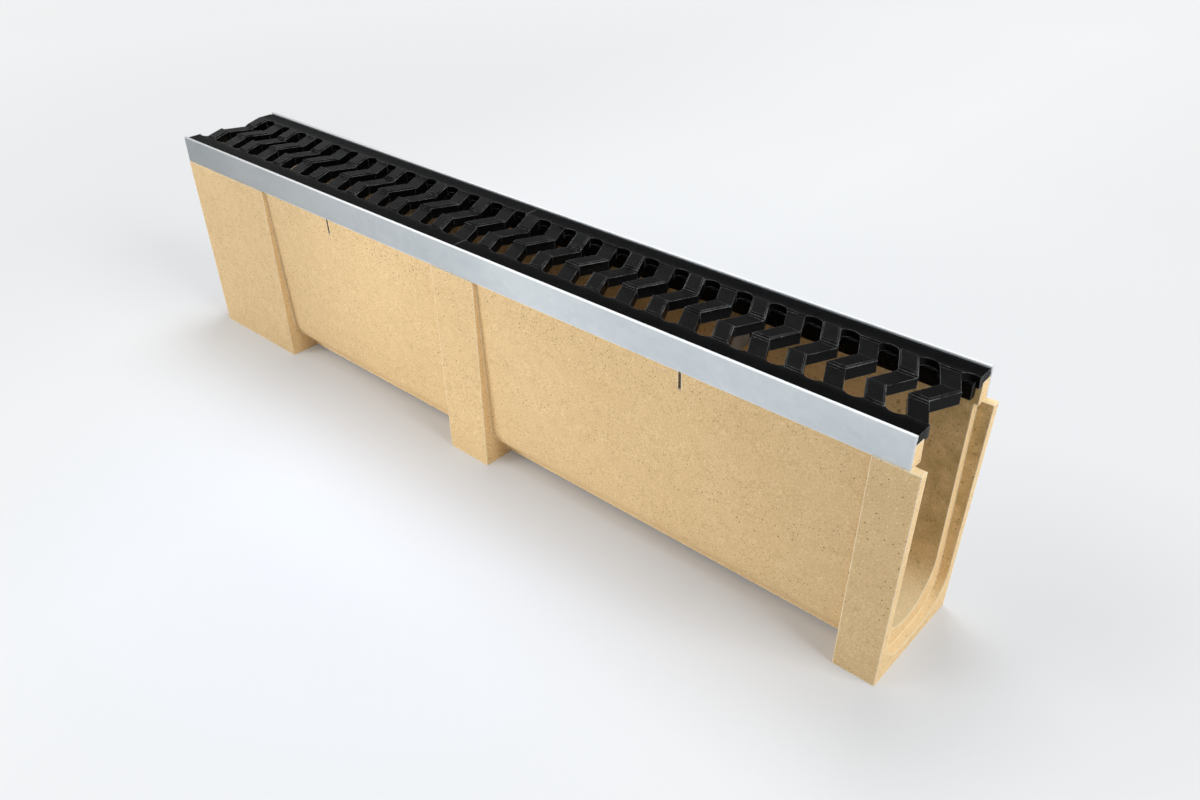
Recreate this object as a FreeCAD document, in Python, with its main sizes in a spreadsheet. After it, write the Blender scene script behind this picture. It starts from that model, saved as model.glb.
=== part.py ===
# Channel drain, one metre long: a cast trough with two edge rails, two slotted grates and two lock bars.
# Millimetres, +Z up.  X runs along the channel, Y across it, Z=0 is the ground under the feet.
# Every piece is drawn from the left end of the rails (local x = 0), and its Placement then moves
# the middle of the whole length to X=0.
import FreeCAD, Part
import math
import os

import Sketcher

SIZES = {
    # whole channel
    "rail_length": 1000,          # edge rails, and so the visible run of the channel
    "channel_width": 130,         # outside face of one rail to the outside face of the other
    "channel_height": 257,        # ground to the top of the rails
    # edge rails
    "skirt_height": 31,           # height of a rail's outer skirt
    "skirt_thickness": 2,
    "hem_thickness": 3,           # folded top edge
    "hem_height": 5,
    "hem_radius": 1.2,
    "hem_fold": 1,                # slope where the hem meets the skirt
    "lug_count": 5,
    "lug_inset": 120,             # each end of the rail to the middle of the nearest lug
    "lug_width": 20,
    "lug_thickness": 2,
    "lug_reach": 8,               # how far a lug is cast into the wall
    "lug_drop": 19,               # rail top down to the lug's upper face
    # trough
    "seat_depth": 10,             # rail top down to the wall tops that carry the grates
    "clear_width": 100,           # between the walls at their tops
    "invert_radius": 44,
    "invert_level": 26,
    "wall_inset": 3,              # outside of the wall under the rail, in from the rail's face
    "belly_half": 54.5,           # half width where the wall turns into the belly
    "belly_radius": 36,
    "belly_level": 12,
    "keel_half": 33,
    "keel_level": 7,
    "end_setback": 1,             # concrete behind the left end of the rail
    # feet
    "foot_proud": 1,              # feet stand proud of the rail's face
    "foot_taper": 1.5,            # each side leans in by this from the rail to the ground
    "end_draft": 5.5,             # each end leans in by this from the rail to the ground
    "left_foot_length": 163,
    "middle_foot_length": 62,
    "right_foot_length": 31,      # up to the end of the rails, with the lip beyond it
    "foot_draft": 2.5,            # inner faces of the feet
    # joint to the next channel
    "lip_length": 10,             # socket lip beyond the end of the rail
    "lip_thickness": 8.8,
    "socket_level": 11,
    "socket_radius": 40,
    "socket_setback": 3.5,        # socket floor, in from the end of the rail
    "spigot_length": 11,
    "joint_clearance": 1.5,
    # lock bars and the slots that hold them
    "lock_slot_width": 3.1,
    "lock_slot_depth": 51,        # rail top down to the floor of the slots
    "lock_bar_thickness": 2.5,
    "lock_bar_height": 20,
    "lock_bar_recess": 3,         # end of a bar, in from the outside of the wall
    "lock_bar_chamfer": 4,
    # grates
    "grate_gap": 1,               # between the two grates
    "grate_side_clearance": 0.5,
    "edge_radius": 1.5,
    "face_drop": 2,               # rail top down to the face of the side bands
    "bar_count": 14,
    "bar_width": 17.6,
    "bar_depth": 13,              # rail top down to the underside of the bars
    "slot_half_reach": 44.5,
    "slot_round": 4,              # length of a slot's rounded end
    "slot_end_easing": 3,         # its radius, over half the slot's width
    "elbow_half": 13.5,           # elbows of the zigzag, out from the centre line
    "elbow_shift": 6.5,
    "root_shift": 8.6,
    "relief": 1.4,                # treads above and below the face
    "relief_inset": 0.5,
    "relief_half": 13.5,          # half length of the middle tread
    "relief_start": 14.5,         # where the outer treads start
    "relief_end": 42,
    "rib_half": 48.5,
    "rib_thickness": 7.5,
    "rib_ledge": 9,               # rail top down to the ledge on a rib
    "rib_depth": 24,
    "rib_round": 2.5,
    "rib_inset": 4,               # rib ends, in from the ends of the grate
    "fork_length": 18,
    "fork_clearance": 0.6,        # on each side of the lock bar
    "fork_depth": 44,
    "fork_inset": 1.5,            # outside of a fork, in from the rib's outside
    "lock_pitches": 8,            # bar pitches from the left end of a grate to its lock bar
}

# Places that several pieces share.
ORIGIN_X = "(Sizes.spigot_length - Sizes.lip_length - Sizes.rail_length) / 2"
RAIL_HALF = "Sizes.channel_width / 2"
BAND_HALF = "(Sizes.channel_width / 2 - Sizes.skirt_thickness)"
SKIRT_LEVEL = "(Sizes.channel_height - Sizes.skirt_height)"
SEAT_LEVEL = "(Sizes.channel_height - Sizes.seat_depth)"
WALL_HALF = "(Sizes.channel_width / 2 - Sizes.wall_inset)"
FOOT_TOP_HALF = "(Sizes.channel_width / 2 + Sizes.foot_proud)"
FOOT_LOW_HALF = "(Sizes.channel_width / 2 + Sizes.foot_proud - Sizes.foot_taper)"
LOCK_LEVEL = "(Sizes.channel_height - Sizes.lock_slot_depth)"
GRATE_LENGTH = "(Sizes.rail_length / 2)"
BAR_PITCH = f"({GRATE_LENGTH} / Sizes.bar_count)"
LOCK_X = f"(Sizes.lock_pitches * {BAR_PITCH})"
LUG_LEVEL = "(Sizes.channel_height - Sizes.lug_drop)"
LUG_RUN = "(Sizes.rail_length - 2 * Sizes.lug_inset)"


def make_sheet(document):
    """Put every driving dimension in the sheet, one row each, under its own alias."""
    sheet = document.addObject("Spreadsheet::Sheet", "Sizes")
    for row, (alias, value) in enumerate(SIZES.items(), start=1):
        sheet.set(f"A{row}", alias)
        sheet.set(f"B{row}", str(value))
        sheet.setAlias(f"B{row}", alias)
    document.recompute()
    return sheet


def make_body(document, label):
    """Start a piece whose local x = 0 is the left end of the rails."""
    body = document.addObject("PartDesign::Body", label)
    body.Label = label
    body.setExpression("Placement.Base.x", ORIGIN_X)
    return body


def origin_feature(body, role):
    """Return one of the body's own origin planes or axes."""
    return next(item for item in body.Origin.OriginFeatures if item.Role == role)


def make_sketch(body, name, role, offset="0"):
    """Attach a sketch to an origin plane, moved along the plane's normal by an expression."""
    sketch = body.newObject("Sketcher::SketchObject", name)
    sketch.AttachmentSupport = (origin_feature(body, role), "")
    sketch.MapMode = "FlatFace"
    sketch.setExpression("AttachmentOffset.Base.z", offset)
    return sketch


def number(sketch, expression):
    """Value of an expression as the sketch sees it."""
    value = sketch.evalExpression(expression)
    return float(getattr(value, "Value", value))


def arc_through(start, end, radius):
    """Arc of the given radius that turns left from start to end, or right if the radius is negative."""
    chord = end - start
    middle = (start + end) / 2
    reach = math.sqrt(max(radius * radius - chord.Length ** 2 / 4, 0))
    side = math.copysign(1, radius)
    normal = FreeCAD.Vector(-chord.y, chord.x, 0).normalize() * side
    centre = middle + normal * reach
    crown = centre - normal * abs(radius)
    return Part.Arc(start, crown, end)


def draw_outline(sketch, corners, arcs=None):
    """Draw a closed outline whose corners, and the radii of its arcs, follow expressions.

    corners is a list of (x, y) expressions; arcs maps a corner's index to the radius expression of
    the side that leaves it, negative where that side turns right.
    """
    arcs = arcs or {}
    points = [FreeCAD.Vector(number(sketch, x), number(sketch, y), 0) for x, y in corners]
    first = sketch.GeometryCount
    sides = []
    for index, start in enumerate(points):
        end = points[(index + 1) % len(points)]
        if index in arcs:
            sides.append(arc_through(start, end, number(sketch, arcs[index])))
        else:
            sides.append(Part.LineSegment(start, end))
    sketch.addGeometry(sides, False)
    # An arc is kept anticlockwise, so one that turns right has its two ends the other way about.
    turned = {index for index, radius in arcs.items() if number(sketch, radius) < 0}
    for index, (x, y) in enumerate(corners):
        before = (index - 1) % len(corners)
        start_point = 2 if index in turned else 1
        end_point = 1 if before in turned else 2
        sketch.addConstraint(
            Sketcher.Constraint("Coincident", first + before, end_point, first + index, start_point))
        for kind, expression in (("DistanceX", x), ("DistanceY", y)):
            constraint = Sketcher.Constraint(
                kind, -1, 1, first + index, start_point, number(sketch, expression))
            place = sketch.addConstraint(constraint)
            sketch.setExpression(f"Constraints[{place}]", expression)
    for index, radius in arcs.items():
        size = Sketcher.Constraint("Radius", first + index, abs(number(sketch, radius)))
        place = sketch.addConstraint(size)
        sketch.setExpression(f"Constraints[{place}]", f"abs({radius})")


def draw_box(sketch, left, right, low, high):
    """Draw a rectangle between four expressions."""
    draw_outline(sketch, [(left, low), (right, low), (right, high), (left, high)])


def mirrored(corners):
    """Complete a half outline, drawn from its top to its bottom on +Y, with its mirror image."""
    return corners + [(f"-({y})", z) for y, z in reversed(corners)]


def make_pad(body, name, sketch, length, taper=0):
    """Extrude a sketch along its normal."""
    pad = body.newObject("PartDesign::Pad", name)
    pad.Profile = sketch
    pad.setExpression("Length", length)
    pad.TaperAngle = taper
    return pad


def make_pocket(body, name, sketch, length, reverse=False, taper=0):
    """Cut a sketch against its normal, or along it if reversed."""
    pocket = body.newObject("PartDesign::Pocket", name)
    pocket.Profile = sketch
    pocket.setExpression("Length", length)
    pocket.Reversed = reverse
    pocket.TaperAngle = taper
    return pocket


def cut_through(body, name, sketch):
    """Cut a sketch right through the piece, both ways."""
    pocket = body.newObject("PartDesign::Pocket", name)
    pocket.Profile = sketch
    pocket.Type = "ThroughAll"
    pocket.Midplane = True
    return pocket


def repeat_along(body, name, feature, count, length):
    """Repeat a feature along X, from its first place to one that lies length further on."""
    pattern = body.newObject("PartDesign::LinearPattern", name)
    pattern.Originals = [feature]
    pattern.Direction = (origin_feature(body, "X_Axis"), [""])
    pattern.setExpression("Length", length)
    pattern.setExpression("Occurrences", count)
    body.Tip = pattern
    return pattern


def add_trough(body):
    """The walls and rounded belly between the feet, and the keel under it."""
    start = "Sizes.end_setback + Sizes.end_draft + Sizes.joint_clearance"
    belly_top = "Sizes.belly_level + Sizes.belly_radius"
    half = [
        (WALL_HALF, SKIRT_LEVEL),
        ("Sizes.belly_half", belly_top),
        ("Sizes.belly_half - Sizes.belly_radius", "Sizes.belly_level"),
    ]
    outline = mirrored(half)
    section = make_sketch(body, "trough_section", "YZ_Plane", start)
    draw_outline(section, outline, {1: "-Sizes.belly_radius", 3: "-Sizes.belly_radius"})
    make_pad(body, "trough", section, f"Sizes.rail_length - ({start})")
    keel_section = make_sketch(body, "keel_section", "YZ_Plane", start)
    draw_box(keel_section, "-Sizes.keel_half", "Sizes.keel_half", "Sizes.keel_level",
             "Sizes.invert_level - Sizes.keel_level / 2")
    make_pad(body, "keel", keel_section, f"Sizes.rail_length - ({start})")


def add_feet(body):
    """Left foot, middle rib and the right foot, which carries the socket lip; all their sides lean in."""
    left_end = "Sizes.left_foot_length"
    middle_start = "(Sizes.rail_length - Sizes.middle_foot_length) / 2"
    middle_end = "(Sizes.rail_length + Sizes.middle_foot_length) / 2"
    right_start = "(Sizes.rail_length - Sizes.right_foot_length)"
    lip_end = "(Sizes.rail_length + Sizes.lip_length)"
    feet = (
        ("Sizes.end_setback", "Sizes.end_setback + Sizes.end_draft",
         left_end, f"{left_end} - Sizes.foot_draft"),
        (middle_start, f"{middle_start} + Sizes.foot_draft / 2", middle_end, f"{middle_end} - Sizes.foot_draft"),
        (right_start, f"{right_start} - 2 * Sizes.foot_draft", lip_end, f"{lip_end} - Sizes.end_draft"),
    )
    profile = make_sketch(body, "feet_profile", "XZ_Plane")
    for left_top, left_low, right_top, right_low in feet:
        draw_outline(profile, [(left_low, "0"), (right_low, "0"),
                               (right_top, SKIRT_LEVEL), (left_top, SKIRT_LEVEL)])
    pad = make_pad(body, "feet", profile, f"2 * {FOOT_TOP_HALF}")
    pad.Midplane = True
    lean = make_sketch(body, "feet_lean", "YZ_Plane")
    for side in ("1", "-1"):
        draw_outline(lean, [(f"{side} * {FOOT_TOP_HALF}", SKIRT_LEVEL),
                            (f"{side} * {FOOT_LOW_HALF}", "0"), (f"{side} * {FOOT_TOP_HALF}", "0")])
    cut_through(body, "feet_sides", lean)


def socket_outline(gap, top):
    """Section of the socket, or of the spigot that enters it with a gap all round."""
    half = [
        (f"{FOOT_TOP_HALF} - Sizes.lip_thickness - {gap}", top),
        (f"{FOOT_LOW_HALF} - Sizes.lip_thickness - {gap}", "Sizes.socket_level + Sizes.socket_radius"),
        (f"{FOOT_LOW_HALF} - Sizes.lip_thickness - Sizes.socket_radius", f"Sizes.socket_level + {gap}"),
    ]
    radius = f"-(Sizes.socket_radius - {gap})"
    return mirrored(half), {1: radius, 3: radius}


def make_channel_body(document):
    """Cast trough: feet, walls, spigot and socket ends, and the seats of what it carries."""
    body = make_body(document, "channel_body")
    add_trough(body)
    add_feet(body)

    # Spigot on the left end, inside the wall's outer half.
    spigot = make_sketch(body, "spigot_section", "YZ_Plane", "-Sizes.spigot_length")
    outline, arcs = socket_outline("Sizes.joint_clearance", f"{SKIRT_LEVEL} - Sizes.joint_clearance")
    draw_outline(spigot, outline, arcs)
    make_pad(body, "spigot", spigot,
             "Sizes.spigot_length + Sizes.end_setback + Sizes.end_draft + 2 * Sizes.joint_clearance")

    # Upper walls behind the rails, up to the seats of the grates.
    upper = make_sketch(body, "upper_wall_section", "YZ_Plane", "Sizes.end_setback")
    draw_box(upper, f"-{BAND_HALF}", BAND_HALF, SKIRT_LEVEL, SEAT_LEVEL)
    make_pad(body, "upper_walls", upper, "Sizes.rail_length - Sizes.end_setback")

    # Waterway: walls that lean in slightly and a half-round invert.
    waterway = make_sketch(body, "waterway_section", "YZ_Plane")
    spring = "Sizes.invert_level + Sizes.invert_radius"
    half_clear = "Sizes.clear_width / 2"
    draw_outline(
        waterway,
        [(half_clear, "Sizes.channel_height"), (half_clear, SEAT_LEVEL), ("Sizes.invert_radius", spring),
         ("0", "Sizes.invert_level"),
         ("-Sizes.invert_radius", spring), (f"-{half_clear}", SEAT_LEVEL),
         (f"-{half_clear}", "Sizes.channel_height")],
        {2: "-Sizes.invert_radius", 3: "-Sizes.invert_radius"})
    cut_through(body, "waterway", waterway)

    # Socket in the right end, below the rails.
    socket = make_sketch(body, "socket_section", "YZ_Plane", "Sizes.rail_length - Sizes.socket_setback")
    outline, arcs = socket_outline("0", SKIRT_LEVEL)
    draw_outline(socket, outline, arcs)
    make_pocket(body, "socket", socket, "Sizes.socket_setback + Sizes.lip_length", reverse=True)

    # Slots through both walls, open at the top, that hold the lock bars.
    slot = make_sketch(body, "lock_slot_outline", "XZ_Plane")
    draw_box(slot, f"{LOCK_X} - Sizes.lock_slot_width / 2", f"{LOCK_X} + Sizes.lock_slot_width / 2",
             LOCK_LEVEL, SEAT_LEVEL)
    slots = cut_through(body, "lock_slots", slot)
    repeat_along(body, "lock_slot_pair", slots, "2", GRATE_LENGTH)

    # Pockets that the rails' lugs are cast into.
    pockets = make_sketch(body, "lug_pocket_outline", "XY_Plane", LUG_LEVEL)
    draw_lugs(pockets, ("-1", "1"))
    lug_pockets = make_pocket(body, "lug_pockets", pockets, "Sizes.lug_thickness")
    repeat_along(body, "lug_pocket_rows", lug_pockets, "Sizes.lug_count", LUG_RUN)
    return body


def draw_lugs(sketch, sides):
    """Plan of the first lug on each side that is named by its sign."""
    left = "Sizes.lug_inset - Sizes.lug_width / 2"
    right = "Sizes.lug_inset + Sizes.lug_width / 2"
    for side in sides:
        draw_box(sketch, left, right, f"{side} * ({BAND_HALF} - Sizes.lug_reach)", f"{side} * {BAND_HALF}")


def make_edge_rail(document, label, side):
    """Folded sheet rail: skirt, rounded hem at the top, and lugs cast into the wall."""
    body = make_body(document, label)
    section = make_sketch(body, "rail_section", "YZ_Plane")
    top = "Sizes.channel_height"
    hem_half = f"({RAIL_HALF} - Sizes.hem_thickness)"
    corners = [
        (RAIL_HALF, SKIRT_LEVEL),
        (RAIL_HALF, f"{top} - Sizes.hem_radius"),
        (f"{RAIL_HALF} - Sizes.hem_radius", top),
        (f"{hem_half} + Sizes.hem_radius", top),
        (hem_half, f"{top} - Sizes.hem_radius"),
        (hem_half, f"{top} - Sizes.hem_height"),
        (BAND_HALF, f"{top} - Sizes.hem_height - Sizes.hem_fold"),
        (BAND_HALF, SKIRT_LEVEL),
    ]
    turn = "Sizes.hem_radius" if side == "1" else "-Sizes.hem_radius"
    draw_outline(section, [(f"{side} * ({y})", z) for y, z in corners], {1: turn, 3: turn})
    make_pad(body, "skirt_and_hem", section, "Sizes.rail_length")
    plan = make_sketch(body, "lug_plan", "XY_Plane", f"{LUG_LEVEL} - Sizes.lug_thickness")
    draw_lugs(plan, (side,))
    lug = make_pad(body, "lug", plan, "Sizes.lug_thickness")
    repeat_along(body, "lugs", lug, "Sizes.lug_count", LUG_RUN)
    return body


def zigzag_shift(y):
    """Sideways shift of a bar's centre line at y, straight between its roots and elbows."""
    elbow = "Sizes.elbow_half"
    root = "Sizes.slot_half_reach"
    outer = f"(({y}) - {elbow}) / ({root} - {elbow})"
    far = f"(Sizes.elbow_shift - {outer} * (Sizes.elbow_shift + Sizes.root_shift))"
    return far


def zigzag_point(shift, y, aside):
    """Point of the zigzag at y, moved aside along the grate."""
    return (f"{shift} + {aside}", y)


def slot_outline():
    """One slot between two bars, as half of it turned about its middle."""
    aside = f"({BAR_PITCH} - Sizes.bar_width) / 2"
    end = "(Sizes.slot_half_reach - Sizes.slot_round)"
    shift = zigzag_shift(end)
    half = [
        zigzag_point("Sizes.elbow_shift", "Sizes.elbow_half", aside),
        zigzag_point(shift, end, aside),
        zigzag_point(shift, end, f"-{aside}"),
        zigzag_point("Sizes.elbow_shift", "Sizes.elbow_half", f"-{aside}"),
    ]
    turned = [(f"-({x})", f"-({y})") for x, y in half]
    return half + turned


def add_slots(body):
    """Zigzag slots with round ends; the first and last leave the grate's ends as half slots."""
    sketch = make_sketch(body, "slot_outline", "XY_Plane", "-Sizes.face_drop")
    radius = f"({BAR_PITCH} - Sizes.bar_width) / 2 + Sizes.slot_end_easing"
    draw_outline(sketch, slot_outline(), {1: radius, 5: radius})
    slot = make_pocket(body, "slot", sketch, "Sizes.bar_depth")
    repeat_along(body, "slots", slot, "Sizes.bar_count + 1", GRATE_LENGTH)


def tread_outline(bar, part, sign, aside):
    """Plan of one tread on a bar: the middle one, or the outer one on +Y (sign 1) or -Y (-1)."""
    middle = f"{BAR_PITCH} * {bar}"
    if part == "middle":
        lean = "Sizes.elbow_shift / Sizes.elbow_half * Sizes.relief_half"
        ends = ((f"-{lean}", "-Sizes.relief_half"), (lean, "Sizes.relief_half"))
    else:
        ends = ((zigzag_shift("Sizes.relief_start"), "Sizes.relief_start"),
                (zigzag_shift("Sizes.relief_end"), "Sizes.relief_end"))
    (x_low, y_low), (x_high, y_high) = ends
    corners = [
        (f"{sign} * ({x_low}) - {aside}", y_low), (f"{sign} * ({x_low}) + {aside}", y_low),
        (f"{sign} * ({x_high}) + {aside}", y_high), (f"{sign} * ({x_high}) - {aside}", y_high),
    ]
    return [(f"{middle} + {x}", f"{sign} * {y}") for x, y in corners]


def add_treads(body):
    """Raised and sunk treads, alternating along each bar and from bar to bar."""
    raised = "(Sizes.bar_width / 2 - Sizes.relief_inset)"
    sunk = "(Sizes.bar_width / 2 + Sizes.relief)"
    plans = (("raised_outer", "0.5", True), ("raised_middle", "1.5", True),
             ("sunk_middle", "0.5", False), ("sunk_outer", "1.5", False))
    for name, bar, is_raised in plans:
        part = name.split("_")[1]
        sketch = make_sketch(body, f"{name}_plan", "XY_Plane", "-Sizes.face_drop")
        for sign in ("1",) if part == "middle" else ("1", "-1"):
            draw_outline(sketch, tread_outline(bar, part, sign, raised if is_raised else sunk))
        if is_raised:
            tread = make_pad(body, name, sketch, "Sizes.relief", taper=-40)
        else:
            tread = make_pocket(body, name, sketch, "Sizes.relief", taper=-40)
        repeat_along(body, f"{name}_treads", tread, "Sizes.bar_count / 2",
                     f"{BAR_PITCH} * (Sizes.bar_count - 2)")


def make_grate(document, label, index):
    """Cast grate: side bands, zigzag bars with treads, two ribs below and forks over the lock bar."""
    body = make_body(document, label)
    body.setExpression("Placement.Base.x", f"{ORIGIN_X} + {index} * {GRATE_LENGTH}")
    body.setExpression("Placement.Base.z", "Sizes.channel_height")

    # Plate with thinner side bands that sit on the walls.
    inset = "Sizes.grate_gap / 2"
    band_edge = f"({RAIL_HALF} - Sizes.hem_thickness - Sizes.grate_side_clearance)"
    section = make_sketch(body, "plate_section", "YZ_Plane", inset)
    half = [
        (f"{band_edge} - Sizes.edge_radius", "-Sizes.face_drop"),
        (band_edge, "-Sizes.face_drop - Sizes.edge_radius"),
        (band_edge, "-Sizes.seat_depth"),
        ("Sizes.rib_half", "-Sizes.seat_depth"),
        ("Sizes.rib_half", "-Sizes.bar_depth"),
    ]
    draw_outline(section, mirrored(half), {0: "-Sizes.edge_radius", 8: "-Sizes.edge_radius"})
    make_pad(body, "plate", section, f"{GRATE_LENGTH} - Sizes.grate_gap")
    add_slots(body)
    add_treads(body)

    # Long ribs just inside the walls, with a round ledge under the ends of the slots.
    start = f"{inset} + Sizes.rib_inset"
    ribs = make_sketch(body, "rib_section", "YZ_Plane", start)
    inner = "(Sizes.rib_half - Sizes.rib_thickness)"
    rib = [
        ("Sizes.rib_half", "-Sizes.rib_depth"),
        ("Sizes.rib_half", "-Sizes.rib_ledge"),
        (f"{inner} + Sizes.rib_round", "-Sizes.rib_ledge"),
        (inner, "-Sizes.rib_ledge - Sizes.rib_round"),
        (inner, "-Sizes.rib_depth"),
    ]
    draw_outline(ribs, rib, {2: "Sizes.rib_round"})
    draw_outline(ribs, [(f"-({y})", z) for y, z in rib], {2: "-Sizes.rib_round"})
    make_pad(body, "ribs", ribs, f"{GRATE_LENGTH} - 2 * ({start})")

    # Forks that straddle the lock bar and keep the grate from sliding along.
    forks = make_sketch(body, "fork_plan", "XY_Plane", "-Sizes.fork_depth")
    for side in ("1", "-1"):
        draw_box(forks, f"{LOCK_X} - Sizes.fork_length / 2", f"{LOCK_X} + Sizes.fork_length / 2",
                 f"{side} * {inner}", f"{side} * (Sizes.rib_half - Sizes.fork_inset)")
    make_pad(body, "forks", forks, "Sizes.fork_depth - Sizes.bar_depth")
    notch = make_sketch(body, "fork_notch_outline", "XZ_Plane")
    notch_half = "(Sizes.lock_bar_thickness / 2 + Sizes.fork_clearance)"
    bar_top = "Sizes.lock_bar_height - Sizes.lock_slot_depth"
    draw_box(notch, f"{LOCK_X} - {notch_half}", f"{LOCK_X} + {notch_half}",
             "-Sizes.fork_depth", f"{bar_top} + Sizes.fork_clearance")
    cut_through(body, "fork_notch", notch)
    return body


def make_lock_bar(document, label, index):
    """Flat bar on edge across the channel, its ends on the floors of the wall slots."""
    body = make_body(document, label)
    body.setExpression("Placement.Base.x", f"{ORIGIN_X} + {index} * {GRATE_LENGTH}")
    side = make_sketch(body, "bar_side", "YZ_Plane", f"{LOCK_X} - Sizes.lock_bar_thickness / 2")
    reach = f"({WALL_HALF} - Sizes.lock_bar_recess)"
    top = f"{LOCK_LEVEL} + Sizes.lock_bar_height"
    half = [
        (f"{reach} - Sizes.lock_bar_chamfer", top),
        (reach, f"{top} - Sizes.lock_bar_chamfer"),
        (reach, LOCK_LEVEL),
    ]
    draw_outline(side, mirrored(half))
    make_pad(body, "bar", side, "Sizes.lock_bar_thickness")
    return body


def check_model(document, pieces):
    """Stop if any feature failed or any piece is not one sound solid."""
    for item in document.Objects:
        if "Invalid" in item.State or "Error" in item.State:
            raise RuntimeError(f"{item.Name} failed: {item.State}")
    for piece in pieces:
        if piece.Shape.isNull() or not piece.Shape.isValid():
            raise RuntimeError(f"{piece.Label} has no valid shape")
        if len(piece.Shape.Solids) != 1:
            raise RuntimeError(f"{piece.Label} has {len(piece.Shape.Solids)} solids")


def main():
    document = FreeCAD.newDocument("ChannelDrain")
    make_sheet(document)
    pieces = [
        make_channel_body(document),
        make_edge_rail(document, "edge_rail_near", "-1"),
        make_edge_rail(document, "edge_rail_far", "1"),
        make_grate(document, "grate_left", 0),
        make_grate(document, "grate_right", 1),
        make_lock_bar(document, "lock_bar_left", 0),
        make_lock_bar(document, "lock_bar_right", 1),
    ]
    document.recompute()
    check_model(document, pieces)
    os.makedirs("parts", exist_ok=True)
    for piece in pieces:
        piece.Shape.exportStep(f"parts/{piece.Label}.step")
        print(piece.Label, round(piece.Shape.Volume), piece.Shape.BoundBox)


main()
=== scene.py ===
"""Looks of the channel drain: materials, floor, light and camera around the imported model."""
import math

import bpy
from mathutils import Matrix, Vector


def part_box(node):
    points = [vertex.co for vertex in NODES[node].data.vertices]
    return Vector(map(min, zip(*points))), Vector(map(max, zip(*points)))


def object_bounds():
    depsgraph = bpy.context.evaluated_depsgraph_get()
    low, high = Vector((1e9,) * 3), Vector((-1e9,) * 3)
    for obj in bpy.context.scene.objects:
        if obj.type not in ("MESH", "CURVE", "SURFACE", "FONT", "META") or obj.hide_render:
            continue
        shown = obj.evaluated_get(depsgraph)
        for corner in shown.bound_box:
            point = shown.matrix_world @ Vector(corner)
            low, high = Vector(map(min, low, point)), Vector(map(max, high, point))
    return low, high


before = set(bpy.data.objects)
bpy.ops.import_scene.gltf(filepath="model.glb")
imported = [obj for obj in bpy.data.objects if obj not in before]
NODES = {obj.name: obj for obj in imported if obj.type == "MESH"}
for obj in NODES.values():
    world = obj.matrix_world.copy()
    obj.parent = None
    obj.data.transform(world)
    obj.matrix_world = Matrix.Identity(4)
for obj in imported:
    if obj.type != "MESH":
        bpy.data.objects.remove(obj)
CAD_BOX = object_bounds()

CONCRETE = ("channel_body",)
RAILS = ("edge_rail_near", "edge_rail_far")
GRATES = ("grate_left", "grate_right")
LOCK_BARS = ("lock_bar_left", "lock_bar_right")

# All lengths are in metres. The rails are 1 m long, from about x = -0.5 to 0.5.
HALF_RUN = 0.5

# The slots in which the lock bars end take their places from the bars.
LOCK_BAR_X = [sum(corner[0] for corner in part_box(node)) / 2 for node in LOCK_BARS]
SLOTS_MIDDLE = sum(LOCK_BAR_X) / 2
SLOTS_HALF_SPACING = (LOCK_BAR_X[1] - LOCK_BAR_X[0]) / 2
SLOT_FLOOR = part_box(LOCK_BARS[0])[0][2]


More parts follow.
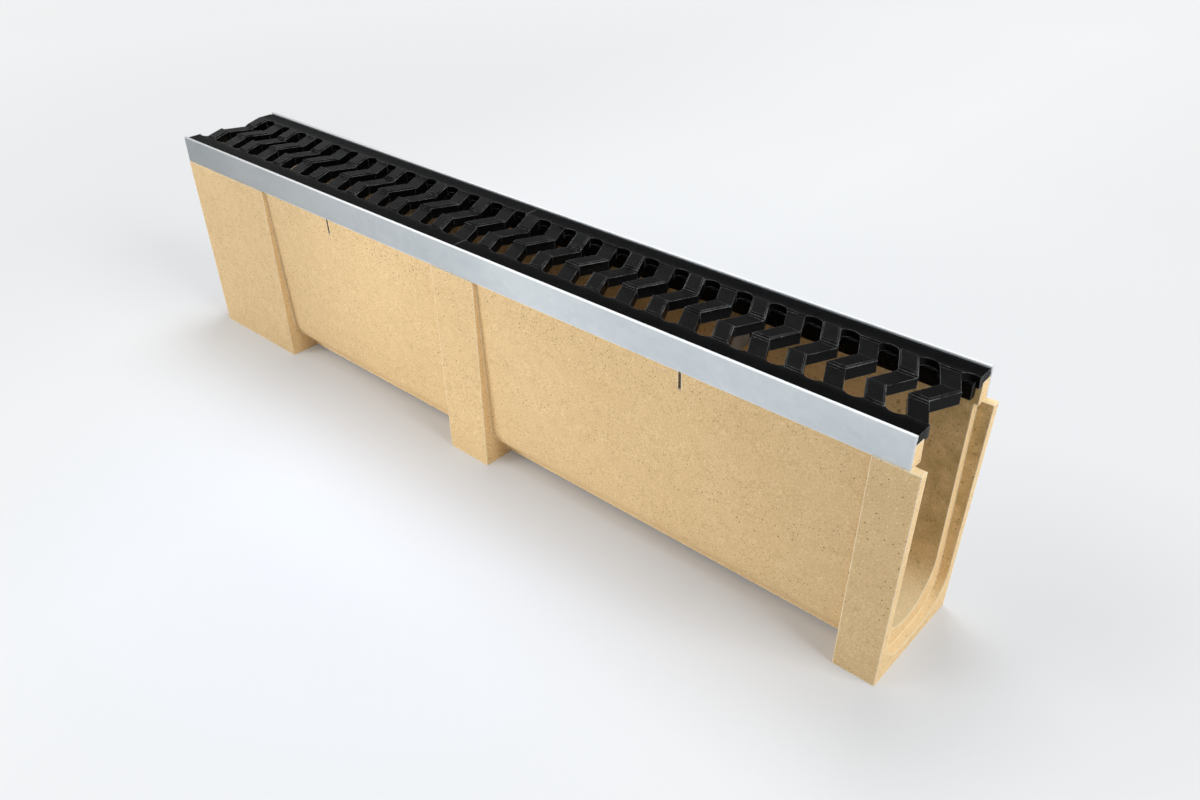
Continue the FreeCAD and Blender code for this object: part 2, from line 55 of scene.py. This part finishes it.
# ---------------------------------------------------------------- node graphs
class Graph:
    """Short calls for building one material's node tree."""

    def __init__(self, name):
        self.material = bpy.data.materials.new(name)
        self.material.use_nodes = True
        self.tree = self.material.node_tree
        self.shader = self.tree.nodes["Principled BSDF"]
        self.place = self.node("ShaderNodeTexCoord").outputs["Object"]
        self.facing = self.node("ShaderNodeNewGeometry").outputs["Normal"]

    def node(self, kind, **settings):
        made = self.tree.nodes.new(kind)
        for key, value in settings.items():
            setattr(made, key, value)
        return made

    def put(self, value, socket):
        """Link an output into a socket, or set the socket's own value."""
        if isinstance(value, bpy.types.NodeSocket):
            self.tree.links.new(value, socket)
        else:
            socket.default_value = value

    # Numbers.
    def maths(self, operation, first, second=0.0):
        made = self.node("ShaderNodeMath", operation=operation)
        self.put(first, made.inputs[0])
        self.put(second, made.inputs[1])
        return made.outputs[0]

    def plus(self, first, second):
        return self.maths("ADD", first, second)

    def times(self, *factors):
        product = factors[0]
        for factor in factors[1:]:
            product = self.maths("MULTIPLY", product, factor)
        return product

    def off(self, value, centre):
        """How far the value is from the centre, on either side."""
        return self.maths("ABSOLUTE", self.maths("SUBTRACT", value, centre))

    def weighed(self, *parts):
        """Sum of outputs, each given with its weight."""
        total = 0.0
        for output, weight in parts:
            total = self.plus(total, self.times(output, weight))
        return total

    # Places.
    def separate(self, vector, axis):
        made = self.node("ShaderNodeSeparateXYZ")
        self.put(vector, made.inputs["Vector"])
        return made.outputs[axis]

    def along(self):
        """0 at the left end of the rails and 1 at their right end."""
        return self.plus(self.separate(self.place, "X"), HALF_RUN)

    def scaled(self, x, y, z):
        mapping = self.node("ShaderNodeMapping")
        self.put(self.place, mapping.inputs["Vector"])
        mapping.inputs["Scale"].default_value = (x, y, z)
        return mapping.outputs["Vector"]

    # Patterns.
    def noise(self, scale, detail, roughness, place=None):
        made = self.node("ShaderNodeTexNoise")
        self.put(place or self.place, made.inputs["Vector"])
        made.inputs["Scale"].default_value = scale
        made.inputs["Detail"].default_value = detail
        made.inputs["Roughness"].default_value = roughness
        return made.outputs["Fac"]

    def cells(self, scale, place=None):
        made = self.node("ShaderNodeTexVoronoi")
        self.put(place or self.place, made.inputs["Vector"])
        made.inputs["Scale"].default_value = scale
        return made.outputs

    def spots(self, scale, rarity, step, core, rim, place=None, ragged=0.0):
        """White spots in some cells of a pattern: solid out to the core, and gone at the rim."""
        cell = self.cells(scale, place)
        chosen = self.ramp(cell["Color"], (rarity, 0.0), (rarity + step, 1.0))
        return self.times(chosen, self.ramp(self.plus(cell["Distance"], ragged), (core, 1.0), (rim, 0.0)))

    # Colours.
    def ramp(self, value, *stops):
        """Colour ramp; each stop is (position, grey) or (position, (r, graph, b))."""
        made = self.node("ShaderNodeValToRGB")
        self.put(value, made.inputs["Fac"])
        elements = made.color_ramp.elements
        while len(elements) < len(stops):
            elements.new(0.5)
        for element, (position, tone) in zip(elements, stops):
            element.position = position
            colour = tone if isinstance(tone, tuple) else (tone,) * 3
            element.color = (*colour, 1.0)
        return made.outputs["Color"]

    def mix(self, amount, low, high, blend="MIX"):
        made = self.node("ShaderNodeMix", data_type="RGBA", blend_type=blend)
        self.put(amount, made.inputs["Factor"])
        for value, name in ((low, "A"), (high, "B")):
            socket = next(s for s in made.inputs if s.name == name and s.type == "RGBA")
            self.put((*value, 1.0) if isinstance(value, tuple) else value, socket)
        return next(s for s in made.outputs if s.type == "RGBA")

    def tint(self, amount, colour, by):
        return self.mix(amount, colour, by, "MULTIPLY")

    # Surfaces.
    def soft_edges(self, radius):
        """Normal of the surface with its edges rounded to this radius."""
        made = self.node("ShaderNodeBevel", samples=6)
        made.inputs["Radius"].default_value = radius
        return made.outputs["Normal"]

    def edge_mask(self, radius, low, high):
        """White where a soft edge of this radius turns the surface away from its flat normal."""
        dot = self.node("ShaderNodeVectorMath", operation="DOT_PRODUCT")
        self.put(self.soft_edges(radius), dot.inputs[0])
        self.put(self.facing, dot.inputs[1])
        turned = self.maths("SUBTRACT", 1.0, dot.outputs["Value"])
        return self.ramp(turned, (low, 0.0), (high, 1.0))

    def bump(self, height, strength, distance, normal):
        made = self.node("ShaderNodeBump")
        self.put(height, made.inputs["Height"])
        made.inputs["Strength"].default_value = strength
        made.inputs["Distance"].default_value = distance
        self.put(normal, made.inputs["Normal"])
        return made.outputs["Normal"]

    def finish(self, colour, roughness, normal=None, metallic=0.0, specular=0.5):
        self.put(colour, self.shader.inputs["Base Color"])
        self.put(roughness, self.shader.inputs["Roughness"])
        self.put(metallic, self.shader.inputs["Metallic"])
        self.put(specular, self.shader.inputs["Specular IOR Level"])
        if normal is not None:
            self.put(normal, self.shader.inputs["Normal"])
        return self.material


# ---------------------------------------------------------------- polymer concrete
# Grains in the mortar: cells a metre, rarity, core and rim of a grain, colour, strength.
DARK_GRAINS = (230.0, 0.76, 0.12, 0.19, (0.060, 0.034, 0.015), 0.85)
BROWN_GRAINS = (330.0, 0.72, 0.15, 0.26, (0.260, 0.140, 0.050), 0.70)
SAND_GRAINS = (260.0, 0.78, 0.12, 0.24, (0.970, 0.860, 0.640), 0.70)
# Stains on the insides of the walls: cells a metre, rarity, colour, strength.
DARK_STAINS = (120.0, 0.60, (0.130, 0.080, 0.030), 0.55)
PALE_STAINS = (160.0, 0.66, (0.800, 0.640, 0.370), 0.45)
# Painted light on what faces up.
TOP_LIGHT_COLOUR = (0.970, 0.860, 0.570)
CREAM = (0.99, 0.91, 0.70)
SLOT_RIM_BROWN = (0.090, 0.050, 0.020)
# The dark rim of a slot is at most this half width, less up to the ragged part, and then it fades.
SLOT_RIM = 0.0029
SLOT_RIM_RAGGED = 0.0030
SLOT_RIM_FADE = 0.0006
# How far below a slot's floor the rim starts, and how far below it is full.
SLOT_RIM_START = 0.0025
SLOT_RIM_FULL = 0.0010
# Centimetres in a metre: the steps of a ramp are too coarse for short distances in metres.
CENTIMETRES = 100.0
# Turns y times the normal's y, about 0.05 on a wall, into about 1 outside and -1 inside.
WALL_SIDE = 20.0


def sandy_mortar(graph, grain, patch):
    """Sandy colour with sparse grains in it."""
    tone = graph.weighed((graph.noise(7.0, 3.0, 0.5), 0.14), (patch, 0.16), (grain, 0.70))
    colour = graph.ramp(tone, (0.38, (0.650, 0.450, 0.217)), (0.47, (0.800, 0.567, 0.291)),
                        (0.53, (0.840, 0.602, 0.313)), (0.63, (0.950, 0.724, 0.416)))
    for scale, rarity, core, rim, grain_colour, strength in (DARK_GRAINS, BROWN_GRAINS, SAND_GRAINS):
        mask = graph.times(graph.spots(scale, rarity, 0.03, core, rim), strength)
        colour = graph.mix(mask, colour, grain_colour)
    return colour


def stained_and_shaded_inside(graph, colour, outward, grain, patch):
    """Insides of the walls: mottled and stained, with painted shade that is darkest deep in the left half
    of the channel and weaker near the invert.
    """
    # Painted shade on the insides, weaker near the invert; the stains follow the same mask.
    inward = graph.ramp(graph.times(outward, -1.0), (0.35, 0.0), (0.85, 1.0))
    mottle = graph.weighed((patch, 0.5), (graph.noise(32.0, 3.0, 0.6), 0.5))
    above_invert = graph.ramp(graph.separate(graph.place, "Z"), (0.030, 0.35), (0.110, 1.0))
    inside = graph.times(inward, graph.ramp(mottle, (0.40, 0.40), (0.60, 1.0)), above_invert)
    # Painted shade along the channel: darkest deep in the left half, light to the right, darker again at
    # the right end.
    painted_shade_along = graph.ramp(graph.along(), (0.30, (0.36, 0.38, 0.42)), (0.70, (0.86, 0.92, 1.0)),
                       (0.92, (0.86, 0.92, 1.0)), (0.98, (0.56, 0.54, 0.42)))
    colour = graph.tint(inside, colour, painted_shade_along)
    ragged = graph.times(grain, 0.4)
    for scale, rarity, stain, strength in (DARK_STAINS, PALE_STAINS):
        mask = graph.spots(scale, rarity, 0.05, 0.30, 0.48, graph.scaled(1.0, 1.0, 0.8), ragged)
        colour = graph.mix(graph.times(mask, inside, strength), colour, stain)
    return colour


def shaded_sides(graph, colour, outward):
    """Outsides of the walls: painted shade, palest left of the middle, darker towards the right end."""
    tone = graph.ramp(graph.along(), (0.02, 0.81), (0.17, 0.78), (0.33, 0.97), (0.48, 0.98),
                      (0.65, 0.92), (0.82, 0.84), (0.98, 0.71))
    return graph.tint(graph.ramp(outward, (0.40, 0.0), (0.80, 1.0)), colour, tone)


def painted_top_light(graph, colour):
    """Painted light: paler on what faces up."""
    top_light = graph.times(graph.ramp(graph.separate(graph.facing, "Z"), (0.25, 0.0), (0.90, 1.0)), 0.45)
    return graph.mix(top_light, colour, TOP_LIGHT_COLOUR)


def dark_slot_rims(graph, colour, grain):
    """Dark ragged rims around the two slots in which the lock bars end."""
    distance = graph.off(graph.off(graph.along(), SLOTS_MIDDLE + HALF_RUN), SLOTS_HALF_SPACING)
    ragged = graph.plus(distance, graph.times(grain, SLOT_RIM_RAGGED))
    rim = graph.ramp(graph.times(ragged, CENTIMETRES), (SLOT_RIM * CENTIMETRES, 1.0),
                     ((SLOT_RIM + SLOT_RIM_FADE) * CENTIMETRES, 0.0))
    above = graph.ramp(graph.separate(graph.place, "Z"),
                       (SLOT_FLOOR - SLOT_RIM_START, 0.0), (SLOT_FLOOR - SLOT_RIM_FULL, 1.0))
    return graph.mix(graph.times(rim, above, 0.85), colour, SLOT_RIM_BROWN)


def pale_arrises_and_highlight(graph, colour, patch):
    """Pale edges: partly rubbed, partly a painted highlight."""
    rubbed_and_highlit = graph.times(graph.edge_mask(0.0019, 0.01, 0.13), graph.ramp(patch, (0.35, 0.70), (0.65, 1.0)))
    return graph.mix(graph.times(rubbed_and_highlit, 0.95), colour, CREAM)


def polymer_concrete():
    """Sand-coloured resin mortar with rough insides, painted shade inside and along the outsides, painted
    light on what faces up, and cream arrises, partly rubbed and partly a painted highlight.
    """
    graph = Graph("polymer_concrete")
    grain = graph.noise(640.0, 4.0, 0.65)
    patch = graph.noise(95.0, 4.0, 0.6)
    outward = graph.times(graph.separate(graph.place, "Y"), graph.separate(graph.facing, "Y"), WALL_SIDE)
    colour = sandy_mortar(graph, grain, patch)
    colour = stained_and_shaded_inside(graph, colour, outward, grain, patch)
    colour = shaded_sides(graph, colour, outward)
    colour = painted_top_light(graph, colour)
    colour = dark_slot_rims(graph, colour, grain)
    colour = pale_arrises_and_highlight(graph, colour, patch)
    skin = graph.bump(graph.noise(520.0, 5.0, 0.65), 0.30, 0.0005, graph.soft_edges(0.0010))
    skin = graph.bump(graph.noise(60.0, 3.0, 0.5), 0.16, 0.0012, skin)
    return graph.finish(colour, graph.ramp(grain, (0.3, 0.58), (0.7, 0.78)), skin, specular=0.30)


# ---------------------------------------------------------------- metals
ZINC_METALLIC = 0.55
HIGHLIGHT_ZINC = (0.98, 0.985, 0.99)
WORN_AND_HIGHLIT_IRON = (0.300, 0.303, 0.307)
IRON_DUST = (0.22, 0.20, 0.17)
# Across the channel, the grates' bars end before their side bands start.
GRATE_BARS_END = 0.0440
GRATE_BANDS_START = 0.0475


def galvanised_steel():
    """Dull zinc coat: faint cloudy tone, lengthwise streaks, painted shade over the left half and a painted
    highlight on the edges and top.
    """
    graph = Graph("galvanised_steel")
    cloud = graph.noise(11.0, 4.0, 0.55, graph.scaled(0.5, 1.0, 1.0))
    spangle = graph.cells(170.0, graph.scaled(0.8, 1.0, 1.0))["Color"]
    tone = graph.weighed((cloud, 0.88), (spangle, 0.12))
    colour = graph.ramp(tone, (0.30, (0.500, 0.545, 0.575)), (0.52, (0.580, 0.620, 0.645)),
                        (0.74, (0.650, 0.685, 0.705)))
    # Painted shade: the left half darker than the right.
    painted_left_shade = graph.ramp(graph.along(), (0.04, 0.47), (0.18, 0.53), (0.44, 0.82), (0.60, 1.0))
    colour = graph.tint(1.0, colour, painted_left_shade)
    # Painted highlight: near-white on the edges and on what faces up, strongest in the middle of the run.
    top = graph.ramp(graph.separate(graph.facing, "Z"), (0.15, 0.0), (0.45, 1.0))
    edges_and_top = graph.maths("MAXIMUM", graph.edge_mask(0.0016, 0.01, 0.10), top)
    painted_highlight = graph.times(edges_and_top, graph.ramp(graph.along(), (0.05, 0.50), (0.45, 0.90), (0.90, 0.60)))
    colour = graph.mix(painted_highlight, colour, HIGHLIGHT_ZINC)
    metallic = graph.maths("SUBTRACT", ZINC_METALLIC, graph.times(painted_highlight, ZINC_METALLIC))
    streak = graph.noise(60.0, 3.0, 0.5, graph.scaled(0.08, 1.0, 1.0))
    roughness = graph.ramp(graph.weighed((tone, 0.5), (streak, 0.5)), (0.3, 0.40), (0.7, 0.54))
    skin = graph.bump(graph.noise(90.0, 3.0, 0.5), 0.05, 0.0005, graph.soft_edges(0.0009))
    return graph.finish(colour, roughness, skin, metallic=metallic)


def black_cast_iron():
    """Black dip coat over sand-cast iron: fine pitting, dust specks and pale edges, partly worn to bare
    metal and partly a painted highlight.
    """
    graph = Graph("black_cast_iron")
    grit = graph.noise(700.0, 4.0, 0.6)
    tone = graph.weighed((graph.noise(45.0, 5.0, 0.65), 0.6), (grit, 0.4))
    colour = graph.ramp(tone, (0.30, (0.0010, 0.0011, 0.0013)), (0.70, (0.0036, 0.0038, 0.0042)))
    patchy = graph.ramp(graph.noise(70.0, 3.0, 0.6), (0.40, 0.15), (0.60, 1.0))
    # Pale edges: partly worn bare, partly a painted highlight.
    worn_and_highlit = graph.times(graph.edge_mask(0.0008, 0.02, 0.16), patchy)
    colour = graph.mix(graph.times(worn_and_highlit, 0.90), colour, WORN_AND_HIGHLIT_IRON)
    colour = graph.mix(graph.times(graph.spots(240.0, 0.955, 0.010, 0.10, 0.22), 0.5), colour, IRON_DUST)
    skin = graph.bump(grit, 0.25, 0.0004, graph.soft_edges(0.0007))
    skin = graph.bump(graph.noise(130.0, 3.0, 0.5), 0.16, 0.0008, skin)
    # The side bands keep a thicker, blacker coat than the bars that feet and wheels rub.
    across = graph.off(graph.separate(graph.place, "Y"), 0.0)
    specular = graph.ramp(across, (GRATE_BARS_END, 0.075), (GRATE_BANDS_START, 0.022))
    return graph.finish(colour, graph.ramp(tone, (0.3, 0.22), (0.7, 0.36)), skin, specular=specular)


def lock_bar_steel():
    """Dull galvanised flat bar."""
    graph = Graph("lock_bar_steel")
    cloud = graph.noise(60.0, 4.0, 0.6)
    colour = graph.ramp(cloud, (0.3, (0.26, 0.27, 0.28)), (0.7, (0.40, 0.41, 0.42)))
    skin = graph.bump(graph.noise(200.0, 3.0, 0.5), 0.1, 0.0004, graph.soft_edges(0.0004))
    return graph.finish(colour, graph.ramp(cloud, (0.3, 0.45), (0.7, 0.62)), skin, metallic=0.8)


# ---------------------------------------------------------------- dressing the CAD nodes
def dress(nodes, material):
    for node in nodes:
        slots = NODES[node].data.materials
        slots.clear()
        slots.append(material)


dress(CONCRETE, polymer_concrete())
dress(RAILS, galvanised_steel())
dress(GRATES, black_cast_iron())
dress(LOCK_BARS, lock_bar_steel())


# ---------------------------------------------------------------- floor
FLOOR_HALF = 9.0
FLOOR_GLOW = (0.985, 0.995, 1.0)
# The ramps from the middle outwards end at this distance.
FLOOR_REACH = 4.0
# The ramp from left to right starts at this x, and is this long.
FLOOR_LEFT = -1.0
FLOOR_SPAN = 2.5
# A painted shadow beside the socket end.
PAINTED_SHADOW_SPOT = (0.60, 0.10, 0.0)


def seen_directly(graph):
    """1 for camera, glossy and transmission rays, 0 for the light that the floor throws on the object."""
    path = graph.node("ShaderNodeLightPath").outputs
    mirrored = graph.maths("MAXIMUM", path["Is Camera Ray"], path["Is Glossy Ray"])
    return graph.maths("MAXIMUM", mirrored, path["Is Transmission Ray"])


def distance_from(graph, point):
    made = graph.node("ShaderNodeVectorMath", operation="DISTANCE")
    graph.put(graph.place, made.inputs[0])
    made.inputs[1].default_value = point
    return made.outputs["Value"]


def pale_floor():
    """Pale floor with some brightness of its own, more of it further out, so that it stays even."""
    graph = Graph("pale_floor")
    seen = seen_directly(graph)
    reach = graph.times(distance_from(graph, (0.0, 0.0, 0.0)), 1.0 / FLOOR_REACH)
    thrown = graph.ramp(graph.noise(0.9, 2.0, 0.5), (0.3, (0.780, 0.785, 0.790)),
                        (0.7, (0.800, 0.805, 0.810)))
    shown = graph.ramp(reach, (0.06, (0.785, 0.836, 0.920)), (0.14, (0.746, 0.766, 0.790)),
                       (0.30, (0.640, 0.650, 0.657)), (0.75, (0.500, 0.503, 0.508)))
    from_left = graph.times(graph.plus(graph.separate(graph.place, "X"), -FLOOR_LEFT), 1.0 / FLOOR_SPAN)
    sides = graph.ramp(from_left, (0.0, 0.88), (0.20, 0.95), (0.36, 0.99), (0.60, 0.88), (0.72, 0.82))
    shown = graph.tint(1.0, shown, sides)
    # Painted shadow beside the socket end.
    shown = graph.tint(1.0, shown, graph.ramp(distance_from(graph, PAINTED_SHADOW_SPOT), (0.04, 0.86), (0.30, 1.0)))
    glow = graph.ramp(reach, (0.08, 0.08), (0.30, 0.31), (0.55, 0.54), (0.75, 0.66))
    graph.shader.inputs["Emission Color"].default_value = (*FLOOR_GLOW, 1.0)
    graph.put(graph.times(seen, glow), graph.shader.inputs["Emission Strength"])
    return graph.finish(graph.mix(seen, thrown, shown), 0.9, specular=0.0)


def make_floor():
    level = CAD_BOX[0][2]
    corners = [(x * FLOOR_HALF, y * FLOOR_HALF, level) for x, y in ((-1, -1), (1, -1), (1, 1), (-1, 1))]
    mesh = bpy.data.meshes.new("floor")
    mesh.from_pydata(corners, [], [(0, 1, 2, 3)])
    mesh.materials.append(pale_floor())
    floor = bpy.data.objects.new("floor", mesh)
    bpy.context.scene.collection.objects.link(floor)


# ---------------------------------------------------------------- light
# Lamps: name, size, power, place, target.
LAMPS = (
    ("top", (1.4, 1.4), 34.0, (-0.5, 0.8, 2.6), (0.0, 0.0, 0.1)),
    ("front", (1.6, 1.1), 54.0, (-1.9, -2.7, 0.8), (-0.2, 0.0, 0.15)),
    ("right", (1.1, 1.1), 30.0, (2.0, 0.0, 1.7), (0.45, 0.0, 0.1)),
)
STUDIO_COLOUR = (0.985, 0.993, 1.0)
# The horizon's strength holds up to HORIZON_TOP, as the height of a direction.
HORIZON_TOP = 0.05
HORIZON_STRENGTH = 0.85
CEILING_START = 0.35
CEILING_STRENGTH = 0.30


def make_lamp(name, size, power, place, target):
    data = bpy.data.lights.new(name, "AREA")
    data.shape = "RECTANGLE"
    data.size, data.size_y = size
    data.energy = power
    lamp = bpy.data.objects.new(name, data)
    bpy.context.scene.collection.objects.link(lamp)
    lamp.location = place
    lamp.rotation_euler = (Vector(target) - Vector(place)).to_track_quat("-Z", "Y").to_euler()


def make_world():
    """Dim studio, pale along the horizon."""
    world = bpy.data.worlds.new("studio")
    bpy.context.scene.world = world
    world.use_nodes = True
    tree = world.node_tree
    background = tree.nodes["Background"]
    background.inputs["Color"].default_value = (*STUDIO_COLOUR, 1.0)
    direction = tree.nodes.new("ShaderNodeTexCoord")
    parts = tree.nodes.new("ShaderNodeSeparateXYZ")
    tree.links.new(direction.outputs["Generated"], parts.inputs["Vector"])
    strength = tree.nodes.new("ShaderNodeMapRange")
    strength.interpolation_type = "SMOOTHSTEP"
    tree.links.new(parts.outputs["Z"], strength.inputs["Value"])
    strength.inputs["From Min"].default_value = HORIZON_TOP
    strength.inputs["From Max"].default_value = CEILING_START
    strength.inputs["To Min"].default_value = HORIZON_STRENGTH
    strength.inputs["To Max"].default_value = CEILING_STRENGTH
    tree.links.new(strength.outputs["Result"], background.inputs["Strength"])


make_floor()
make_world()
for lamp in LAMPS:
    make_lamp(*lamp)


# ---------------------------------------------------------------- camera
# Sensor and focal length are in millimetres.
SENSOR_WIDTH = 36.0
FOCAL_LENGTH = 30.702
CAMERA_PLACE = (0.7292, -0.6565, 0.6801)
CAMERA_DOWN = math.radians(33.24)
CAMERA_TURN = math.radians(-41.93)
CAMERA_ROLL = math.radians(-0.69)


def make_camera():
    data = bpy.data.cameras.new("camera")
    data.sensor_width = SENSOR_WIDTH
    data.lens = FOCAL_LENGTH
    data.clip_start = 0.01
    data.dof.use_dof = False
    camera = bpy.data.objects.new("camera", data)
    bpy.context.scene.collection.objects.link(camera)
    ahead = Vector((math.cos(CAMERA_DOWN) * math.sin(CAMERA_TURN),
                    math.cos(CAMERA_DOWN) * math.cos(CAMERA_TURN), -math.sin(CAMERA_DOWN)))
    level_right = Vector((math.cos(CAMERA_TURN), -math.sin(CAMERA_TURN), 0.0))
    level_up = level_right.cross(ahead)
    right = math.cos(CAMERA_ROLL) * level_right + math.sin(CAMERA_ROLL) * level_up
    up = math.cos(CAMERA_ROLL) * level_up - math.sin(CAMERA_ROLL) * level_right
    turn = Matrix((right, up, -ahead)).transposed()
    camera.matrix_world = Matrix.Translation(CAMERA_PLACE) @ turn.to_4x4()
    bpy.context.scene.camera = camera


make_camera()
bpy.context.scene.view_settings.view_transform = "Standard"


bpy.context.view_layer.update()
